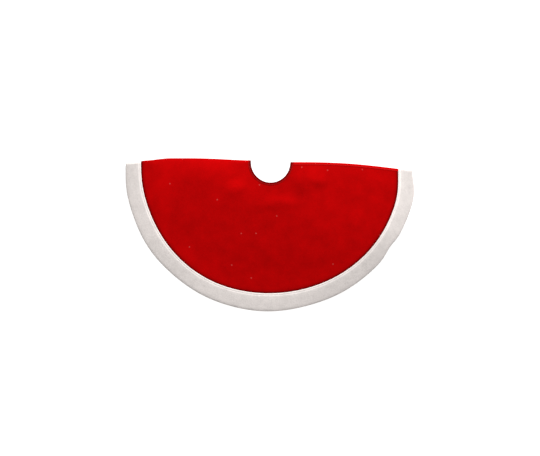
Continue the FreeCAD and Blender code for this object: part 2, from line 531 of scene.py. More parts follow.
def per_metre(size_mm):
    """A texture's scale for a pattern of this size, in millimetres, on coordinates in metres."""
    return 1 / (size_mm * MM)


def bands_per_metre(spacing_mm):
    """A wave texture's scale for bands this far apart; at scale 1 its wave repeats every tau / 20."""
    return per_metre(spacing_mm) * math.tau / 20


def cloth_place(tree):
    """The node that gives a point's place on the cut cloth, so that patterns lie in the cloth."""
    return add_node(tree, "ShaderNodeAttribute", settings={"attribute_name": "cut_place"})


def cloth_radius(tree):
    """The node that gives a point's distance from the middle of the skirt."""
    return add_node(tree, "ShaderNodeAttribute", settings={"attribute_name": "cut_radius"})


def times(tree, first, second):
    """Two colours multiplied; each is a (node, output)."""
    return add_node(
        tree,
        "ShaderNodeMix",
        settings={"data_type": "RGBA", "blend_type": "MULTIPLY"},
        values={"Factor": 1.0},
        links={"A": first, "B": second},
    )


def dye(tree, base, shade):
    """A plain colour multiplied by a grey pattern, which is a (node, output)."""
    node = add_node(
        tree,
        "ShaderNodeMix",
        settings={"data_type": "RGBA", "blend_type": "MULTIPLY"},
        values={"Factor": 1.0},
        links={"B": shade},
    )
    node.inputs["A"].default_value = base
    return node


def blend_to(tree, factor, under, over):
    """A colour that gives way to a plain one; factor and under are (node, output)."""
    node = add_node(
        tree,
        "ShaderNodeMix",
        settings={"data_type": "RGBA"},
        links={"Factor": factor, "A": under},
    )
    node.inputs["B"].default_value = over
    return node


def cloth_nap_and_shade(tree):
    """The node that gives the patch tone: below 0 darker, above 0 paler; partly brushed fibres and
    partly painted light and shade, with painted shade on the fold's crease.
    """
    return add_node(tree, "ShaderNodeAttribute", settings={"attribute_name": "nap"})


def shade_over(tree, source, output, rows):
    """A grey that follows (value, grey) rows along a measure in metres."""
    first, last = rows[0][0], rows[-1][0]
    share = add_node(
        tree,
        "ShaderNodeMapRange",
        values={"From Min": first, "From Max": last},
        links={"Value": (source, output)},
    )
    stops = [((value - first) / (last - first), grey(tone)) for value, tone in rows]
    return ramp(tree, share, "Result", stops)


def felt_material(settings):
    """Needled polyester felt. Short fibres lie every way, which gives a dull, slightly cloudy red
    with paler clumps, a few loose pale fibres, and a soft relief with no weave. Painted shade darkens
    it beside the border seam and along the fold's crease, and its pale and dark patches are partly its
    brushed fibres and partly painted light and shade where its slopes face towards and away from the
    light."""
    base = tuple(settings.felt_colour)
    values = {"IOR": 1.5, "Specular IOR Level": 0.02, "Sheen Weight": 0.06, "Sheen Roughness": 0.5}
    material, tree, shader = new_material("needled_polyester_felt", base, 0.96, values)
    shader.inputs["Sheen Tint"].default_value = linear("FF1008")
    place = cloth_place(tree)
    # Real fibres are 0.02 mm thick and 40 mm long. Clumps 4 mm across are drawn in their place.
    clump = add_node(
        tree,
        "ShaderNodeTexNoise",
        values={"Scale": per_metre(4), "Detail": 5, "Roughness": 0.7, "Distortion": 1.2},
        links={"Vector": (place, "Vector")},
    )
    cloud = add_node(
        tree,
        "ShaderNodeTexNoise",
        values={"Scale": per_metre(38), "Detail": 3, "Roughness": 0.55},
        links={"Vector": (place, "Vector")},
    )
    both = add_node(
        tree,
        "ShaderNodeMix",
        settings={"data_type": "FLOAT"},
        values={"Factor": 0.45},
        links={"A": (clump, "Fac"), "B": (cloud, "Fac")},
    )
    tone = ramp(tree, both, "Result", [(0.34, grey(0.84)), (0.5, grey(1.0)), (0.66, grey(1.16))])
    colour = dye(tree, base, (tone, "Color"))
    # From 15 mm before the border on, painted shade darkens the felt towards its seam, where the
    # border's raised edge shades it.
    seam = shade_over(
        tree,
        cloth_radius(tree),
        "Fac",
        [(BAND_RADIUS - 15 * MM, 1), (BAND_RADIUS - 8 * MM, 0.88), (BAND_RADIUS - 3 * MM, 0.36)],
    )
    colour = times(tree, (colour, "Result"), (seam, "Color"))
    # Patches paler or darker than the felt: partly its brushed fibres, and partly painted light and
    # shade where the cloth's slopes face towards and away from the light; the fold's crease gets painted
    # shade.
    nap = cloth_nap_and_shade(tree)
    patch_tone = shade_over(tree, nap, "Fac", [(-1, 0.5), (0, 1.0)])
    colour = times(tree, (colour, "Result"), (patch_tone, "Color"))
    raised = shade_over(tree, nap, "Fac", [(0, 0.0), (1, 1.0)])
    twice = tuple(c * 2 for c in base[:3]) + (1,)
    colour = blend_to(tree, (raised, "Color"), (colour, "Result"), twice)
    # Loose fibres and lint caught on the nap, in about one of four 48 mm cells.
    cell = add_node(
        tree,
        "ShaderNodeTexVoronoi",
        settings={"voronoi_dimensions": "2D"},
        values={"Scale": per_metre(48), "Randomness": 1.0},
        links={"Vector": (place, "Vector")},
    )
    ragged = add_node(
        tree,
        "ShaderNodeTexNoise",
        values={"Scale": per_metre(1.6), "Detail": 3, "Roughness": 0.7, "Distortion": 3.0},
        links={"Vector": (place, "Vector")},
    )
    off = add_node(
        tree,
        "ShaderNodeMath",
        settings={"operation": "MULTIPLY_ADD"},
        links={0: (ragged, "Fac"), 2: (cell, "Distance")},
    )
    off.inputs[1].default_value = 0.16
    near = add_node(
        tree,
        "ShaderNodeMapRange",
        values={"From Min": 0.095, "From Max": 0.13, "To Min": 0.4, "To Max": 0.0},
        links={"Value": (off, "Value")},
    )
    chosen = add_node(
        tree, "ShaderNodeMath", settings={"operation": "GREATER_THAN"}, links={0: (cell, "Color")}
    )
    chosen.inputs[1].default_value = 0.74
    speck = add_node(
        tree,
        "ShaderNodeMath",
        settings={"operation": "MULTIPLY"},
        links={0: (near, "Result"), 1: (chosen, "Value")},
    )
    colour = blend_to(tree, (speck, "Value"), (colour, "Result"), linear("D8706A"))
    tree.links.new(colour.outputs["Result"], shader.inputs["Base Color"])
    fibre = add_node(
        tree,
        "ShaderNodeTexNoise",
        values={"Scale": per_metre(1.4), "Detail": 4, "Roughness": 0.75, "Distortion": 2.0},
        links={"Vector": (place, "Vector")},
    )
    soft = add_node(
        tree,
        "ShaderNodeBump",
        values={"Strength": 0.5, "Distance": 0.9 * MM},
        links={"Height": (clump, "Fac")},
    )
    fine = add_node(
        tree,
        "ShaderNodeBump",
        values={"Strength": 0.6, "Distance": 0.35 * MM},
        links={"Height": (fibre, "Fac"), "Normal": (soft, "Normal")},
    )
    tree.links.new(fine.outputs["Normal"], shader.inputs["Normal"])
    return material


def plush_material(settings):
    """Knitted polyester plush with a short brushed pile: matt warm white, with small tufts that
    lean together, painted shade in the hollows between them, a painted highlight on the folded edge
    beside the seam, greyer over the rest of the border, and painted shade where it faces away from the
    light."""
    base = tuple(settings.plush_colour)
    values = {"IOR": 1.5, "Specular IOR Level": 0.1, "Sheen Weight": 0.1, "Sheen Roughness": 0.5}
    material, tree, shader = new_material("brushed_polyester_plush", base, 0.95, values)
    place = cloth_place(tree)
    # The pile's hairs are 0.02 mm thick, too fine to show, so tufts of 3 mm and wisps of 0.8 mm are
    # drawn.
    tuft = add_node(
        tree,
        "ShaderNodeTexVoronoi",
        settings={"feature": "SMOOTH_F1"},
        values={"Scale": per_metre(3), "Smoothness": 0.6, "Randomness": 1.0},
        links={"Vector": (place, "Vector")},
    )
    hair = add_node(
        tree,
        "ShaderNodeTexNoise",
        values={"Scale": per_metre(0.8), "Detail": 6, "Roughness": 0.8, "Distortion": 2.5},
        links={"Vector": (place, "Vector")},
    )
    lean = add_node(
        tree,
        "ShaderNodeTexNoise",
        values={"Scale": per_metre(28), "Detail": 3, "Roughness": 0.6},
        links={"Vector": (place, "Vector")},
    )
    tone = ramp(tree, lean, "Fac", [(0.3, grey(0.94)), (0.5, grey(1.0)), (0.7, grey(1.05))])
    # Painted shade in the hollows between the tufts.
    tuft_hollow_shade = ramp(tree, tuft, "Distance", [(0.25, grey(1.0)), (0.75, grey(0.9))])
    # A painted highlight on the folded edge beside the seam; the rest of the border is greyer.
    painted_lip_highlight = shade_over(
        tree,
        cloth_radius(tree),
        "Fac",
        [
            (BAND_RADIUS, 1.0),
            (BAND_RADIUS + 6 * MM, 1.0),
            (BAND_RADIUS + 10 * MM, 0.78),
            (SKIRT_RADIUS - 9 * MM, 0.75),
            (SKIRT_RADIUS - 1 * MM, 0.76),
        ],
    )
    colour = times(tree, (tone, "Color"), (tuft_hollow_shade, "Color"))
    colour = times(tree, (colour, "Result"), (painted_lip_highlight, "Color"))
    # Painted shade where the border faces away from the light.
    patch_tone = shade_over(tree, cloth_nap_and_shade(tree), "Fac", [(-1, 0.5), (0, 1.0)])
    colour = times(tree, (colour, "Result"), (patch_tone, "Color"))
    dyed = dye(tree, base, (colour, "Result"))
    tree.links.new(dyed.outputs["Result"], shader.inputs["Base Color"])
    tufts = add_node(
        tree,
        "ShaderNodeBump",
        settings={"invert": True},
        values={"Strength": 0.35, "Distance": 0.8 * MM},
        links={"Height": (tuft, "Distance")},
    )
    hairs = add_node(
        tree,
        "ShaderNodeBump",
        values={"Strength": 0.9, "Distance": 0.6 * MM},
        links={"Height": (hair, "Fac"), "Normal": (tufts, "Normal")},
    )
    tree.links.new(hairs.outputs["Normal"], shader.inputs["Normal"])
    return material


def woven_material(name, colour, spacing_mm, rough, specular, edge_tone=1.0):
    """Plain woven or knitted polyester: ribs one way crossed by finer ones, with a slight shine.
    Towards the neck opening's edge it is darker."""
    material, tree, shader = new_material(
        name, colour, rough, {"IOR": 1.5, "Specular IOR Level": specular}
    )
    place = cloth_place(tree)
    waves = []
    for direction, size in (("X", spacing_mm), ("Y", spacing_mm * 1.3)):
        waves.append(
            add_node(
                tree,
                "ShaderNodeTexWave",
                settings={"wave_type": "BANDS", "bands_direction": direction},
                values={"Scale": bands_per_metre(size), "Distortion": 0.8, "Detail": 2},
                links={"Vector": (place, "Vector")},
            )
        )
    weave = add_node(
        tree,
        "ShaderNodeMath",
        settings={"operation": "MAXIMUM"},
        links={0: (waves[0], "Fac"), 1: (waves[1], "Fac")},
    )
    dark = tuple(c * 0.8 for c in colour[:3]) + (1,)
    tone = ramp(tree, weave, "Value", [(0.2, dark), (0.9, tuple(colour))])
    # Darker towards the neck opening's edge.
    turned = shade_over(
        tree,
        cloth_radius(tree),
        "Fac",
        [
            (NECK_RADIUS + reach * MM, edge_tone + (1 - edge_tone) * share)
            for reach, share in ((1.5, 0), (5, 0.23), (9, 0.6), (14, 1))
        ],
    )
    tone = times(tree, (tone, "Color"), (turned, "Color"))
    tree.links.new(tone.outputs["Result"], shader.inputs["Base Color"])
    relief = add_node(
        tree,
        "ShaderNodeBump",
        values={"Strength": 0.6, "Distance": 0.25 * MM},
        links={"Height": (weave, "Value")},
    )
    tree.links.new(relief.outputs["Normal"], shader.inputs["Normal"])
    return material


def thread_material(name, colour):
    """Spun polyester sewing thread: two plies twisted together, with a soft shine on each turn."""
    material, tree, shader = new_material(
        name, colour, 0.6, {"IOR": 1.5, "Specular IOR Level": 0.3, "Sheen Weight": 0.1}
    )
    place = cloth_place(tree)
    ply = add_node(
        tree,
        "ShaderNodeTexWave",
        settings={"wave_type": "BANDS", "bands_direction": "DIAGONAL"},
        values={"Scale": bands_per_metre(0.9), "Distortion": 0.6},
        links={"Vector": (place, "Vector")},
    )
    dark = tuple(c * 0.75 for c in colour[:3]) + (1,)
    tone = ramp(tree, ply, "Fac", [(0.1, dark), (0.7, tuple(colour))])
    tree.links.new(tone.outputs["Color"], shader.inputs["Base Color"])
    relief = add_node(
        tree,
        "ShaderNodeBump",
        values={"Strength": 0.5, "Distance": 0.15 * MM},
        links={"Height": (ply, "Fac")},
    )
    tree.links.new(relief.outputs["Normal"], shader.inputs["Normal"])
    return material


# ---- settings ----


class SkirtSettings(PropertyGroup):
    """Colours and sewing sizes of the skirt."""

    felt_colour: FloatVectorProperty(
        name="Felt colour", description="Colour of the red felt", subtype="COLOR", size=4,
        default=linear("AA0203"), min=0, max=1,
    )
    plush_colour: FloatVectorProperty(
        name="Plush colour", description="Colour of the border's plush", subtype="COLOR", size=4,
        default=linear("FCF4F0"), min=0, max=1,
    )
    tape_colour: FloatVectorProperty(
        name="Tape colour", description="Colour of the binding tape", subtype="COLOR", size=4,
        default=linear("CE0304"), min=0, max=1,
    )
    closure_colour: FloatVectorProperty(
        name="Closure colour", description="Colour of the hook and loop tape", subtype="COLOR", size=4,
        default=linear("8E0808"), min=0, max=1,
    )
    stitch_pitch: FloatProperty(
        name="Stitch pitch", description="Length of one stitch with its gap", subtype="DISTANCE",
        unit="LENGTH", default=4.2 * MM, min=2 * MM, max=8 * MM,
    )
    thread_thickness: FloatProperty(
        name="Thread thickness", description="Thickness of the sewing thread", subtype="DISTANCE",
        unit="LENGTH", default=0.7 * MM, min=0.2 * MM, max=1.5 * MM,
    )
    felt_columns: IntProperty(
        name="Felt columns", description="Mesh columns round one half of the felt",
        default=150, min=40,
    )
    band_columns: IntProperty(
        name="Border columns", description="Mesh columns round one half of the border",
        default=300, min=60,
    )


def settings_of(context):
    """The skirt's settings."""
    return context.scene.tree_skirt


# ---- cloth pieces ----


def make_felt(settings):
    """The felt disc, slit to its neck hole, as one closed sheet. Inside the border it is cut back
    from the slit and from the fold, so that the border closes over it."""
    radii = np.linspace(FELT_INNER, FELT_OUTER, 66)
    columns = round_columns(settings.felt_columns, 15, 0.0)
    angle, sign, shift = columns
    short = EDGE_GAP + 3 * MM * smooth((radii - BAND_RADIUS) / (3 * MM))
    back = sign[:, None] * short[None, :] * (1 - smooth(angle / 0.25))[:, None]
    at_fold = smooth((angle - math.pi) / 0.06 + 1)
    reach = FELT_OUTER - (FELT_OUTER - BAND_RADIUS - 2 * MM) * at_fold
    radius = FELT_INNER + (reach - FELT_INNER)[:, None] * np.linspace(0, 1, len(radii))
    x, v = on_ring(radius, angle[:, None], sign[:, None], shift[:, None])
    skins = [
        np.stack([x, v + back, np.full_like(x, side * FELT_HALF)], axis=-1) for side in (-1, 1)
    ]
    return two_skinned("felt_disc", *skins)


def band_section():
    """The border's outer and inner skins as (radius, z), from the show side round the rim."""
    lip, seam, crown = BAND_RADIUS, BAND_RADIUS + SEAM_INSET, BAND_RADIUS + 14 * MM
    rim_round = 9 * MM
    round_from = SKIRT_RADIUS - rim_round
    side = [(lip + 0.2 * MM, FELT_HALF + 0.35 * MM), (lip - 0.3 * MM, FELT_HALF + 1.0 * MM)]
    side += [(lip + 0.3 * MM, BAND_HALF - 0.75 * MM), (lip + 1.3 * MM, BAND_HALF - 0.35 * MM)]
    side += [(seam - 1.5 * MM, BAND_HALF - 0.35 * MM), (seam - 0.6 * MM, BAND_HALF - 0.6 * MM)]
    side += [(seam, BAND_HALF - 0.75 * MM), (seam + 0.6 * MM, BAND_HALF - 0.6 * MM)]
    side += [(seam + 2.0 * MM, BAND_HALF - 0.45 * MM), (seam + 5 * MM, BAND_HALF - 0.12 * MM)]
    side += [(r, BAND_HALF) for r in np.linspace(crown, round_from, 9)]
    turns = np.radians(np.linspace(72, 0, 5))
    side += [(round_from + rim_round * math.cos(t), BAND_HALF * math.sin(t) ** 0.8) for t in turns]
    outer = [(r, -z) for r, z in side] + [(r, z) for r, z in reversed(side[:-1])]
    lining = FELT_HALF + 0.05 * MM
    inner_side = [(lip + 0.6 * MM, lining)]
    inner_side += [(r, lining) for r in np.linspace(lip + 1 * MM, FELT_OUTER, len(side) - 2)]
    inner_side += [(FELT_OUTER + 0.4 * MM, 0)]
    inner = [(r, -z) for r, z in inner_side] + [(r, z) for r, z in reversed(inner_side[:-1])]
    return outer, inner


def make_band(settings):
    """The plush band, folded over the felt's rim, closed at both slit ends."""
    outer, inner = band_section()
    columns = round_columns(settings.band_columns, 15, 0.013)
    # The angles of the columns that round off each slit end, ever closer, in radians.
    ends = np.array([0.0, 0.0006, 0.0016, 0.003, 0.005, 0.0075, 0.0105])
    angle = np.concatenate([ends, columns[0], ends[::-1]])
    sign = np.concatenate([-np.ones(len(ends)), columns[1], np.ones(len(ends))])
    shift = np.concatenate([np.zeros(len(ends)), columns[2], np.full(len(ends), FOLD_STRIP)])
    skin = ring_skin(outer, (angle, sign, shift))
    from_end = np.minimum(np.arange(len(angle)), np.arange(len(angle))[::-1])
    rise = 1 - np.clip(1 - from_end / len(ends), 0, 1) ** 2
    skin[:, :, 2] *= np.sqrt(np.maximum(rise, 0))[:, None]
    lining = ring_skin(inner, (np.maximum(angle, 0.0026), sign, shift))
    lining[:, :, 2] *= (1 - np.clip(1 - from_end / 4, 0, 1) ** 2)[:, None]
    band = two_skinned("border_plush", skin, lining, open_ends=False)
    roughen(band, 6 * MM, 0.3 * MM, 3.1)
    return band


def tape_path():
    """The binding's path from the lower slit's outer end round the neck to the upper slit's outer
    end: the felt edge's points, and for each the tape's far edge, in the flat layout."""
    corner = math.asin(TAPE_WIDTH / TAPE_REACH)
    corner_x = TAPE_REACH * math.cos(corner)
    slit_x = np.linspace(TAPE_END, NECK_RADIUS, 90)
    edge = [(x, 0.0) for x in slit_x[:-1]]
    far = [(max(x, corner_x), TAPE_WIDTH) for x in slit_x[:-1]]
    for angle in np.linspace(0, math.pi, 70):
        held = max(angle, corner)
        edge.append((NECK_RADIUS * math.cos(angle), NECK_RADIUS * math.sin(angle)))
        far.append((TAPE_REACH * math.cos(held), TAPE_REACH * math.sin(held)))
    edge, far = np.array(edge), np.array(far)
    strip = np.linspace(0, FOLD_STRIP, 10)[1:-1]
    across = [np.stack([np.full(len(strip), -r), strip], axis=1) for r in (NECK_RADIUS, TAPE_REACH)]
    flip = np.array([1, -1])
    whole = []
    for half, fold_part in ((edge, across[0]), (far, across[1])):
        lower = half * flip
        upper = half[::-1] + np.array([0, FOLD_STRIP])
        whole.append(np.concatenate([lower, fold_part, upper]))
    return whole


def make_tape():
    """The binding tape, folded over the felt's edge."""
    edge, far = tape_path()
    out, core = TAPE_HALF, FELT_HALF + 0.02 * MM
    wall = (NECK_RADIUS - FELT_INNER) / TAPE_WIDTH
    outer = [(1, core + 0.1 * MM), (0.97, out - 0.1 * MM), (0.9, out), (0.72, out), (0.6, out)]
    outer += [(0.45, out), (0.3, out), (0.12, out), (0.03, out - 0.3 * MM), (0, 0)]
    shares = np.linspace(0.985, -1.3 * wall, len(outer) - 1)
    inner = [(share, core) for share in shares] + [(-0.8 * wall, 0)]
    skins = []
    for section in (outer, inner):
        closed = [(s, -z) for s, z in section] + [(s, z) for s, z in reversed(section[:-1])]
        share = np.array([s for s, _ in closed])[None, :, None]
        level = np.array([z for _, z in closed])
        flat = edge[:, None, :] + (far - edge)[:, None, :] * share
        z = np.broadcast_to(level, flat.shape[:2])
        skins.append(np.concatenate([flat, z[:, :, None]], axis=2))
    return two_skinned("binding_tape", *skins)


# ---- sewing ----


def thread_stitch(length, thickness):
    """One stitch as by hand: a straight thread whose ends are drawn out and down into the cloth in
    two steps. Gives its points and faces, lying along x and centred, with the cloth below it."""
    bpy.ops.object.select_all(action="DESELECT")
    bpy.ops.mesh.primitive_cylinder_add(
        vertices=6, radius=thickness / 2, depth=length * 0.55, rotation=(0, math.pi / 2, 0)
    )
    stitch = bpy.context.object
    bpy.ops.object.transform_apply(location=True, rotation=True, scale=True)
    for end in (-1, 1):
        select_facing(stitch, (end, 0, 0))
        bpy.ops.mesh.extrude_region_move(
            TRANSFORM_OT_translate={"value": (end * length * 0.14, 0, -thickness * 0.32)}
        )
        bpy.ops.mesh.extrude_region_move(
            TRANSFORM_OT_translate={"value": (end * length * 0.05, 0, -thickness * 0.5)}
        )
        bpy.ops.transform.resize(value=(1, 0.6, 0.6))
        bpy.ops.object.mode_set(mode="OBJECT")
    return take_shape(stitch)


def sew(name, lines, settings):
    """A row of stitches along each line. A line is (points, z, side): points of the flat layout,
    the thread's level, and the side that it lies on, -1 for the show side."""
    # A stitch takes 0.86 of its pitch, and the rest is the gap to the next.
    length, thickness = settings.stitch_pitch * 0.86, settings.thread_thickness
    stitch_points, stitch_faces = thread_stitch(length, thickness)
    near = 0.3 * MM
    points, faces = [], []
    for line, level, side in lines:
        steps = np.linalg.norm(np.diff(line, axis=0), axis=1)
        travelled = np.concatenate([[0], np.cumsum(steps)])
        count = int(travelled[-1] // settings.stitch_pitch)
        places = (np.arange(count) + 0.5) * travelled[-1] / count
        back_x, back_v = (np.interp(places - near, travelled, line[:, k]) for k in (0, 1))
        ahead_x, ahead_v = (np.interp(places + near, travelled, line[:, k]) for k in (0, 1))
        heading = np.arctan2(ahead_v - back_v, ahead_x - back_x)
        at_x, at_v = (np.interp(places, travelled, line[:, k]) for k in (0, 1))
        for x, v, turn in zip(at_x, at_v, heading):
            cos, sin = math.cos(turn), math.sin(turn)
            moved = np.stack(
                [
                    x + stitch_points[:, 0] * cos - stitch_points[:, 1] * sin * side,
                    v + stitch_points[:, 0] * sin + stitch_points[:, 1] * cos * side,
                    level + stitch_points[:, 2] * side,
                ],
                axis=1,
            )
            first = len(points) * len(stitch_points)
            points.append(moved)
            faces += [[first + i for i in face] for face in stitch_faces]
    return new_piece(name, np.concatenate(points), faces)


def ring_line(radius):
    """The border seam's path in the flat layout."""
    angle, sign, shift = round_columns(200, 6, 0.012)
    return np.stack(on_ring(radius, angle, sign, shift), axis=1)


def tape_line(share):
    """A path along the binding, at a share of its width from the felt's edge."""
    edge, far = tape_path()
    return edge + (far - edge) * share


def box_line(low, high):
    """A closed rectangle's path."""
    (x0, y0), (x1, y1) = low, high
    return np.array([(x0, y0), (x1, y0), (x1, y1), (x0, y1), (x0, y0)])


# ---- closures and label ----


def tab_blank(length, width, thickness):
    """A closure tab as by hand: a plate with rounded corners, a thin sewing margin and a raised
    field, centred on the origin and standing up from z = 0."""
    margin = thickness * 0.45
    bpy.ops.object.select_all(action="DESELECT")
    bpy.ops.mesh.primitive_cube_add(size=1, location=(0, 0, margin / 2))
    tab = bpy.context.object
    tab.scale = (length, width, margin)
    bpy.ops.object.transform_apply(location=True, rotation=True, scale=True)
    select_facing(tab, (0, 0, 1))
    bpy.ops.mesh.inset(thickness=3.2 * MM)
    bpy.ops.mesh.extrude_region_move(TRANSFORM_OT_translate={"value": (0, 0, thickness * 0.3)})
    bpy.ops.mesh.inset(thickness=0.4 * MM)
    bpy.ops.transform.translate(value=(0, 0, thickness * 0.05))
    bpy.ops.mesh.select_all(action="DESELECT")
    bpy.ops.object.mode_set(mode="OBJECT")
    for edge in tab.data.edges:
        a, b = (tab.data.vertices[i].co for i in edge.vertices)
        at_corner = min(abs(a.x), abs(b.x)) > length / 2 - 1 * MM
        edge.select = at_corner and abs(a.z - b.z) > margin * 0.5 and abs(a.y - b.y) < 0.1 * MM
    bpy.ops.object.mode_set(mode="EDIT")
    bpy.ops.mesh.bevel(offset=2 * MM, segments=4, affect="EDGES")
    bpy.ops.object.mode_set(mode="OBJECT")
    return tab


def pile_thread(hooked, reach, height):
    """One hook, or one loop, of a closure's pile as by hand: a small foot drawn out step by step
    along its bend. Gives its points and faces, standing on z = 0."""
    if hooked:
        steps = [(0.05, 0.6), (0.15, 0.3), (0.3, 0.05), (0.15, -0.3)]
    else:
        steps = [(0.05, 0.6), (0.25, 0.4), (0.3, -0.1), (0.15, -0.9)]
    bpy.ops.object.select_all(action="DESELECT")
    bpy.ops.mesh.primitive_cube_add(size=0.24 * MM, location=(0, 0, 0.12 * MM))
    thread = bpy.context.object
    bpy.ops.object.transform_apply(location=True, rotation=True, scale=True)
    select_facing(thread, (0, 0, 1))
    for along, up in steps:
        move = (along * reach, 0, up * height)
        bpy.ops.mesh.extrude_region_move(TRANSFORM_OT_translate={"value": move})
    bpy.ops.object.mode_set(mode="OBJECT")
    return take_shape(thread)


def pile_field(length, width, pitch, height, hooked):
    """Rows of hooks or loops over a closure tab's field, standing on z = 0. Hooks stand in order
    and turn about by rows, and loops lie every way."""
    model, model_faces = pile_thread(hooked, pitch * 0.8, height)
    columns, rows = int(length / pitch), int(width / pitch)
    points, faces = [], []
    for i in range(columns):
        for j in range(rows):
            stray = noise.noise(Vector((i * 1.7, j * 2.3, 0.5)))
            turn = (0.5 if hooked else 5.0) * stray + (math.pi if hooked and j % 2 else 0)
            cos, sin = math.cos(turn), math.sin(turn)
            at_x = (i + 0.5 - columns / 2 + 0.25 * stray) * pitch
            at_y = (j + 0.5 - rows / 2 + 0.25 * stray) * pitch
            turned_x = model[:, 0] * cos - model[:, 1] * sin
            turned_y = model[:, 0] * sin + model[:, 1] * cos
            first = len(points) * len(model)
            points.append(np.stack([at_x + turned_x, at_y + turned_y, model[:, 2]], axis=1))
            faces += [[first + k for k in face] for face in model_faces]
    return new_piece("pile", np.concatenate(points), faces)


def closure_tab(hooked, length, width, thickness):
    """One hook tab or loop tab, lying flat on the origin, pile upwards."""
    tab = tab_blank(length, width, thickness)
    pile = pile_field(length - 8 * MM, width - 8 * MM, 1.3 * MM, thickness * 0.2, hooked)
    points = mesh_points(pile)
    points[:, 2] += thickness * 0.8
    set_points(pile, points)
    bpy.ops.object.select_all(action="DESELECT")
    pile.select_set(True)
    tab.select_set(True)
    bpy.context.view_layer.objects.active = tab
    bpy.ops.object.join()
    return tab


def tab_frame(node):
    """A closure tab's centre and size from its CAD node."""
    low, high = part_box(node)
    return (low + high) / 2, high - low


def place_tabs(kind, hooked, body, side, material):
    """Copies one tab to its three places on the slit, each with its own mesh."""
    _, size = tab_frame(f"{kind}_tab_{TAB_PLACES[0]}")
    model = closure_tab(hooked, size.x, size.y, size.z)
    for place in TAB_PLACES:
        node = f"{kind}_tab_{place}"
        centre, _ = tab_frame(node)
        tab = model.copy()
        tab.data = model.data.copy()
        tab.name = f"{kind}_closure_{place}"
        bpy.context.scene.collection.objects.link(tab)
        points = mesh_points(tab)
        v = centre.y if body == LOWER else FOLD_STRIP - centre.y
        points[:, 0] += centre.x
        points[:, 1] = v + points[:, 1] * side
        points[:, 2] = side * (FELT_HALF + 0.03 * MM + points[:, 2])
        set_points(tab, points)
        fold(tab)
        finish_piece(tab, [material], [node], 35)
        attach(tab, body)
    bpy.data.objects.remove(model)


# ---- operators ----


class SKIRT_OT_felt(Operator):
    """Makes the felt disc, folded in half."""

    bl_idname = "skirt.felt"
    bl_label = "Felt disc"

    def execute(self, context):
        settings = settings_of(context)
        felt = make_felt(settings)
        fold_across(felt)
        nodes = ["lower_felt_panel", "upper_felt_panel", "felt_fold"]
        finish_piece(felt, [felt_material(settings)], nodes)
        return {"FINISHED"}


class SKIRT_OT_border(Operator):
    """Makes the plush border, folded with the felt."""

    bl_idname = "skirt.border"
    bl_label = "Plush border"

    def execute(self, context):
        settings = settings_of(context)
        band = make_band(settings)
        fold_across(band)
        nodes = ["lower_border_band", "upper_border_band", "border_fold"]
        finish_piece(band, [plush_material(settings)], nodes, 75)
        return {"FINISHED"}


class SKIRT_OT_binding(Operator):
    """Makes the binding tape round the neck and along the slit."""

    bl_idname = "skirt.binding"
    bl_label = "Binding tape"

    def execute(self, context):
        settings = settings_of(context)
        tape = make_tape()
        fold_across(tape)
        # Woven tape's threads are 0.25 mm apart; ribs of 1.2 mm are drawn so that they show.
        material = woven_material("woven_polyester_tape", settings.tape_colour, 1.2, 0.85, 0.04, 0.2)
        nodes = ["lower_opening_binding", "upper_opening_binding", "binding_fold"]
        finish_piece(tape, [material], nodes)
        return {"FINISHED"}


class SKIRT_OT_seams(Operator):
    """Sews the border and the binding with a line of stitches on each side of the cloth."""

    bl_idname = "skirt.seams"
    bl_label = "Border and binding seams"

    def execute(self, context):
        settings = settings_of(context)
        thickness = settings.thread_thickness
        seam = ring_line(BAND_RADIUS + SEAM_INSET)
        level = BAND_HALF - 0.75 * MM + thickness * 0.3
        border = sew("border_stitches", [(seam, side * level, side) for side in (-1, 1)], settings)
        fold_across(border)
        white = thread_material("white_sewing_thread", linear("D9D6D0"))
        nodes = ["lower_border_stitching", "upper_border_stitching"]
        finish_piece(border, [white], nodes)
        seam = tape_line(0.76)
        level = TAPE_HALF + thickness * 0.12
        binding = sew("binding_stitches", [(seam, side * level, side) for side in (-1, 1)], settings)
        fold_across(binding)
        red = thread_material("red_sewing_thread", linear("B00404"))
        nodes = ["lower_binding_stitching", "upper_binding_stitching"]
        finish_piece(binding, [red], nodes)
        return {"FINISHED"}


class SKIRT_OT_closures(Operator):
    """Makes the hook and loop tabs on the slit, and sews them on."""

    bl_idname = "skirt.closures"
    bl_label = "Hook and loop tabs"

    def execute(self, context):
        settings = settings_of(context)
        colour = settings.closure_colour
        hook = woven_material("moulded_nylon_hook_tape", colour, 1.0, 0.55, 0.4)
        loop = woven_material("brushed_nylon_loop_tape", colour, 1.0, 0.9, 0.1)
        place_tabs("hook", True, LOWER, -1, hook)
        place_tabs("loop", False, UPPER, 1, loop)
        red = bpy.data.materials["red_sewing_thread"]
        for kind, body in (("hook", LOWER), ("loop", UPPER)):
            lines = []
            for place in TAB_PLACES:
                centre, size = tab_frame(f"{kind}_tab_{place}")
                v = centre.y if body == LOWER else FOLD_STRIP - centre.y
                reach = Vector((size.x / 2 - 1.8 * MM, size.y / 2 - 1.8 * MM))
                middle_at = Vector((centre.x, v))
                path = box_line(tuple(middle_at - reach), tuple(middle_at + reach))
                pile_side = -1 if kind == "hook" else 1
                lines.append((path, pile_side * (FELT_HALF + 0.7 * MM), pile_side))
            stitches = sew(f"{kind}_tab_stitches", lines, settings)
            fold(stitches)
            finish_piece(stitches, [red], [f"{kind}_tab_stitching"])
            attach(stitches, body)
        return {"FINISHED"}


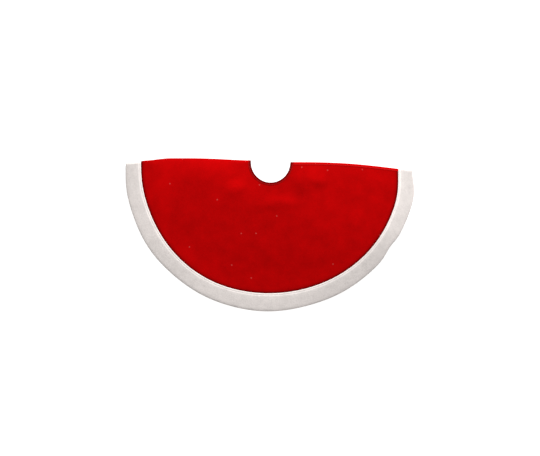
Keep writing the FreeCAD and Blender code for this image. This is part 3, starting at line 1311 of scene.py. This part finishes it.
class SKIRT_OT_label(Operator):
    """Makes the blank care label on the wrong side, sewn in beside the border."""

    bl_idname = "skirt.label"
    bl_label = "Care label"

    def execute(self, context):
        settings = settings_of(context)
        low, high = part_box("care_label")
        centre = (low + high) / 2
        radial = Vector((centre.x, centre.y)).normalized()
        turn = math.atan2(radial.y, radial.x)
        size_x, size_y = high.x - low.x, high.y - low.y
        # The label lies turned, so its own length and width follow from its box's two sides.
        cos, sin = abs(math.cos(turn)), abs(math.sin(turn))
        spread = cos * cos - sin * sin
        length = (size_x * cos - size_y * sin) / spread
        width = (size_y * cos - size_x * sin) / spread
        bpy.ops.object.select_all(action="DESELECT")
        bpy.ops.mesh.primitive_grid_add(x_subdivisions=24, y_subdivisions=16, size=1)
        label = bpy.context.object
        label.name = "blank_care_label"
        solid = label.modifiers.new("satin", "SOLIDIFY")
        solid.thickness = 1
        solid.offset = 0
        label.scale = (length, width, 0.26 * MM)
        bpy.ops.object.modifier_apply(modifier=solid.name)
        bpy.ops.object.transform_apply(location=True, rotation=True, scale=True)
        points = mesh_points(label)
        along = points[:, 0] / length + 0.5
        # The half away from its seam curls up a little.
        curl = 1.1 * MM * (1 - smooth(along / 0.5)) * bump(points[:, 1] / (0.9 * width))
        points[:, 2] += curl + FELT_HALF + 0.16 * MM
        x, y = points[:, 0].copy(), points[:, 1].copy()
        points[:, 0] = centre.x + x * math.cos(turn) - y * math.sin(turn)
        points[:, 1] = centre.y + x * math.sin(turn) + y * math.cos(turn)
        set_points(label, points)
        fold(label)
        # Satin's floats are 0.1 mm wide; ribs of 0.8 mm stand in for them.
        satin = woven_material("woven_satin_label", linear("D3D1CC"), 0.8, 0.5, 0.3)
        finish_piece(label, [satin], ["care_label"], 35)
        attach(label, LOWER)
        end = centre + Vector((radial.x, radial.y, 0)) * (length / 2 - 4 * MM)
        side = Vector((-radial.y, radial.x)) * (width / 2 - 1.5 * MM)
        line = np.array([(end.x - side.x, end.y - side.y), (end.x + side.x, end.y + side.y)])
        level = FELT_HALF + 0.34 * MM
        stitches = sew("label_stitches", [(line, level, 1)], settings)
        fold(stitches)
        white = bpy.data.materials["white_sewing_thread"]
        finish_piece(stitches, [white], ["care_label_stitching"])
        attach(stitches, LOWER)
        return {"FINISHED"}


class SKIRT_OT_declare(Operator):
    """Gathers the names of the pieces sewn to the cloth; nothing more is done with them."""

    bl_idname = "skirt.declare"
    bl_label = "Cloth sizes"

    def execute(self, context):
        sewn = ["border_stitches", "hook_tab_stitches", "loop_tab_stitches", "label_stitches"]
        for kind in ("hook", "loop"):
            sewn += [f"{kind}_closure_{place}" for place in TAB_PLACES]
        return {"FINISHED"}


def area_light(name, place, aim, size, power, colour):
    """A soft square light at a place, turned to a point."""
    data = bpy.data.lights.new(name, "AREA")
    data.size, data.energy, data.color = size, power, colour
    light = bpy.data.objects.new(name, data)
    light.location = place
    light.rotation_euler = (Vector(aim) - Vector(place)).to_track_quat("-Z", "Y").to_euler()
    bpy.context.scene.collection.objects.link(light)


class SKIRT_OT_stage(Operator):
    """Makes the floor, the studio light and the camera straight above the skirt."""

    bl_idname = "skirt.stage"
    bl_label = "Floor, light and camera"

    def execute(self, context):
        scene = context.scene
        bpy.ops.object.select_all(action="DESELECT")
        bpy.ops.mesh.primitive_plane_add(size=12)
        floor = context.object
        floor.name = "studio_floor"
        # An opal acrylic light table: it glows evenly, so the ground is white up to the cloth's edge.
        opal, _, shader = new_material("lit_opal_acrylic", grey(0.9), 0.9, {"Specular IOR Level": 0.1})
        shader.inputs["Emission Color"].default_value = grey(1.0)
        shader.inputs["Emission Strength"].default_value = 0.6
        floor.data.materials.append(opal)
        world = bpy.data.worlds.new("studio_air")
        scene.world = world
        world.use_nodes = True
        air = world.node_tree.nodes["Background"]
        air.inputs["Color"].default_value = (1, 1, 1, 1)
        air.inputs["Strength"].default_value = 0.5
        # One soft light, low and beyond the straight edge, so that it rakes over the nap.
        area_light(
            "key_light",
            place=(0.7, 2.1, 1.25),
            aim=(0, -0.2, 0),
            size=0.9,
            power=98,
            colour=(1.0, 0.99, 0.98),
        )
        data = bpy.data.cameras.new("camera")
        data.lens = 85
        data.sensor_width = 36
        camera = bpy.data.objects.new("camera", data)
        # The picture is 1.823 skirts wide, on the level of the upper half's top.
        view_width = 2 * SKIRT_RADIUS * 1.823
        height = view_width * data.lens / data.sensor_width
        camera.location = (0, -0.2006, height + 2 * FOLD_AXIS_Z)
        scene.collection.objects.link(camera)
        scene.camera = camera
        scene.view_settings.view_transform = "Standard"
        return {"FINISHED"}


class SKIRT_PT_panel(Panel):
    """Lists the skirt's settings and the operators in the order that they are run."""

    bl_label = "Tree skirt"
    bl_space_type = "VIEW_3D"
    bl_region_type = "UI"
    bl_category = "Tree skirt"

    def draw(self, context):
        settings = settings_of(context)
        for name in SkirtSettings.__annotations__:
            self.layout.prop(settings, name)
        for operator in OPERATORS:
            self.layout.operator(operator.bl_idname)


OPERATORS = (
    SKIRT_OT_felt,
    SKIRT_OT_border,
    SKIRT_OT_binding,
    SKIRT_OT_seams,
    SKIRT_OT_closures,
    SKIRT_OT_label,
    SKIRT_OT_declare,
    SKIRT_OT_stage,
)
CLASSES = (SkirtSettings, *OPERATORS, SKIRT_PT_panel)


def register():
    for cls in CLASSES:
        bpy.utils.register_class(cls)
    bpy.types.Scene.tree_skirt = PointerProperty(type=SkirtSettings)


def unregister():
    del bpy.types.Scene.tree_skirt
    for cls in reversed(CLASSES):
        bpy.utils.unregister_class(cls)


def main():
    register()
    bpy.ops.skirt.felt()
    bpy.ops.skirt.border()
    bpy.ops.skirt.binding()
    bpy.ops.skirt.seams()
    bpy.ops.skirt.closures()
    bpy.ops.skirt.label()
    bpy.ops.skirt.declare()
    bpy.ops.skirt.stage()


if __name__ == "__main__":
    main()
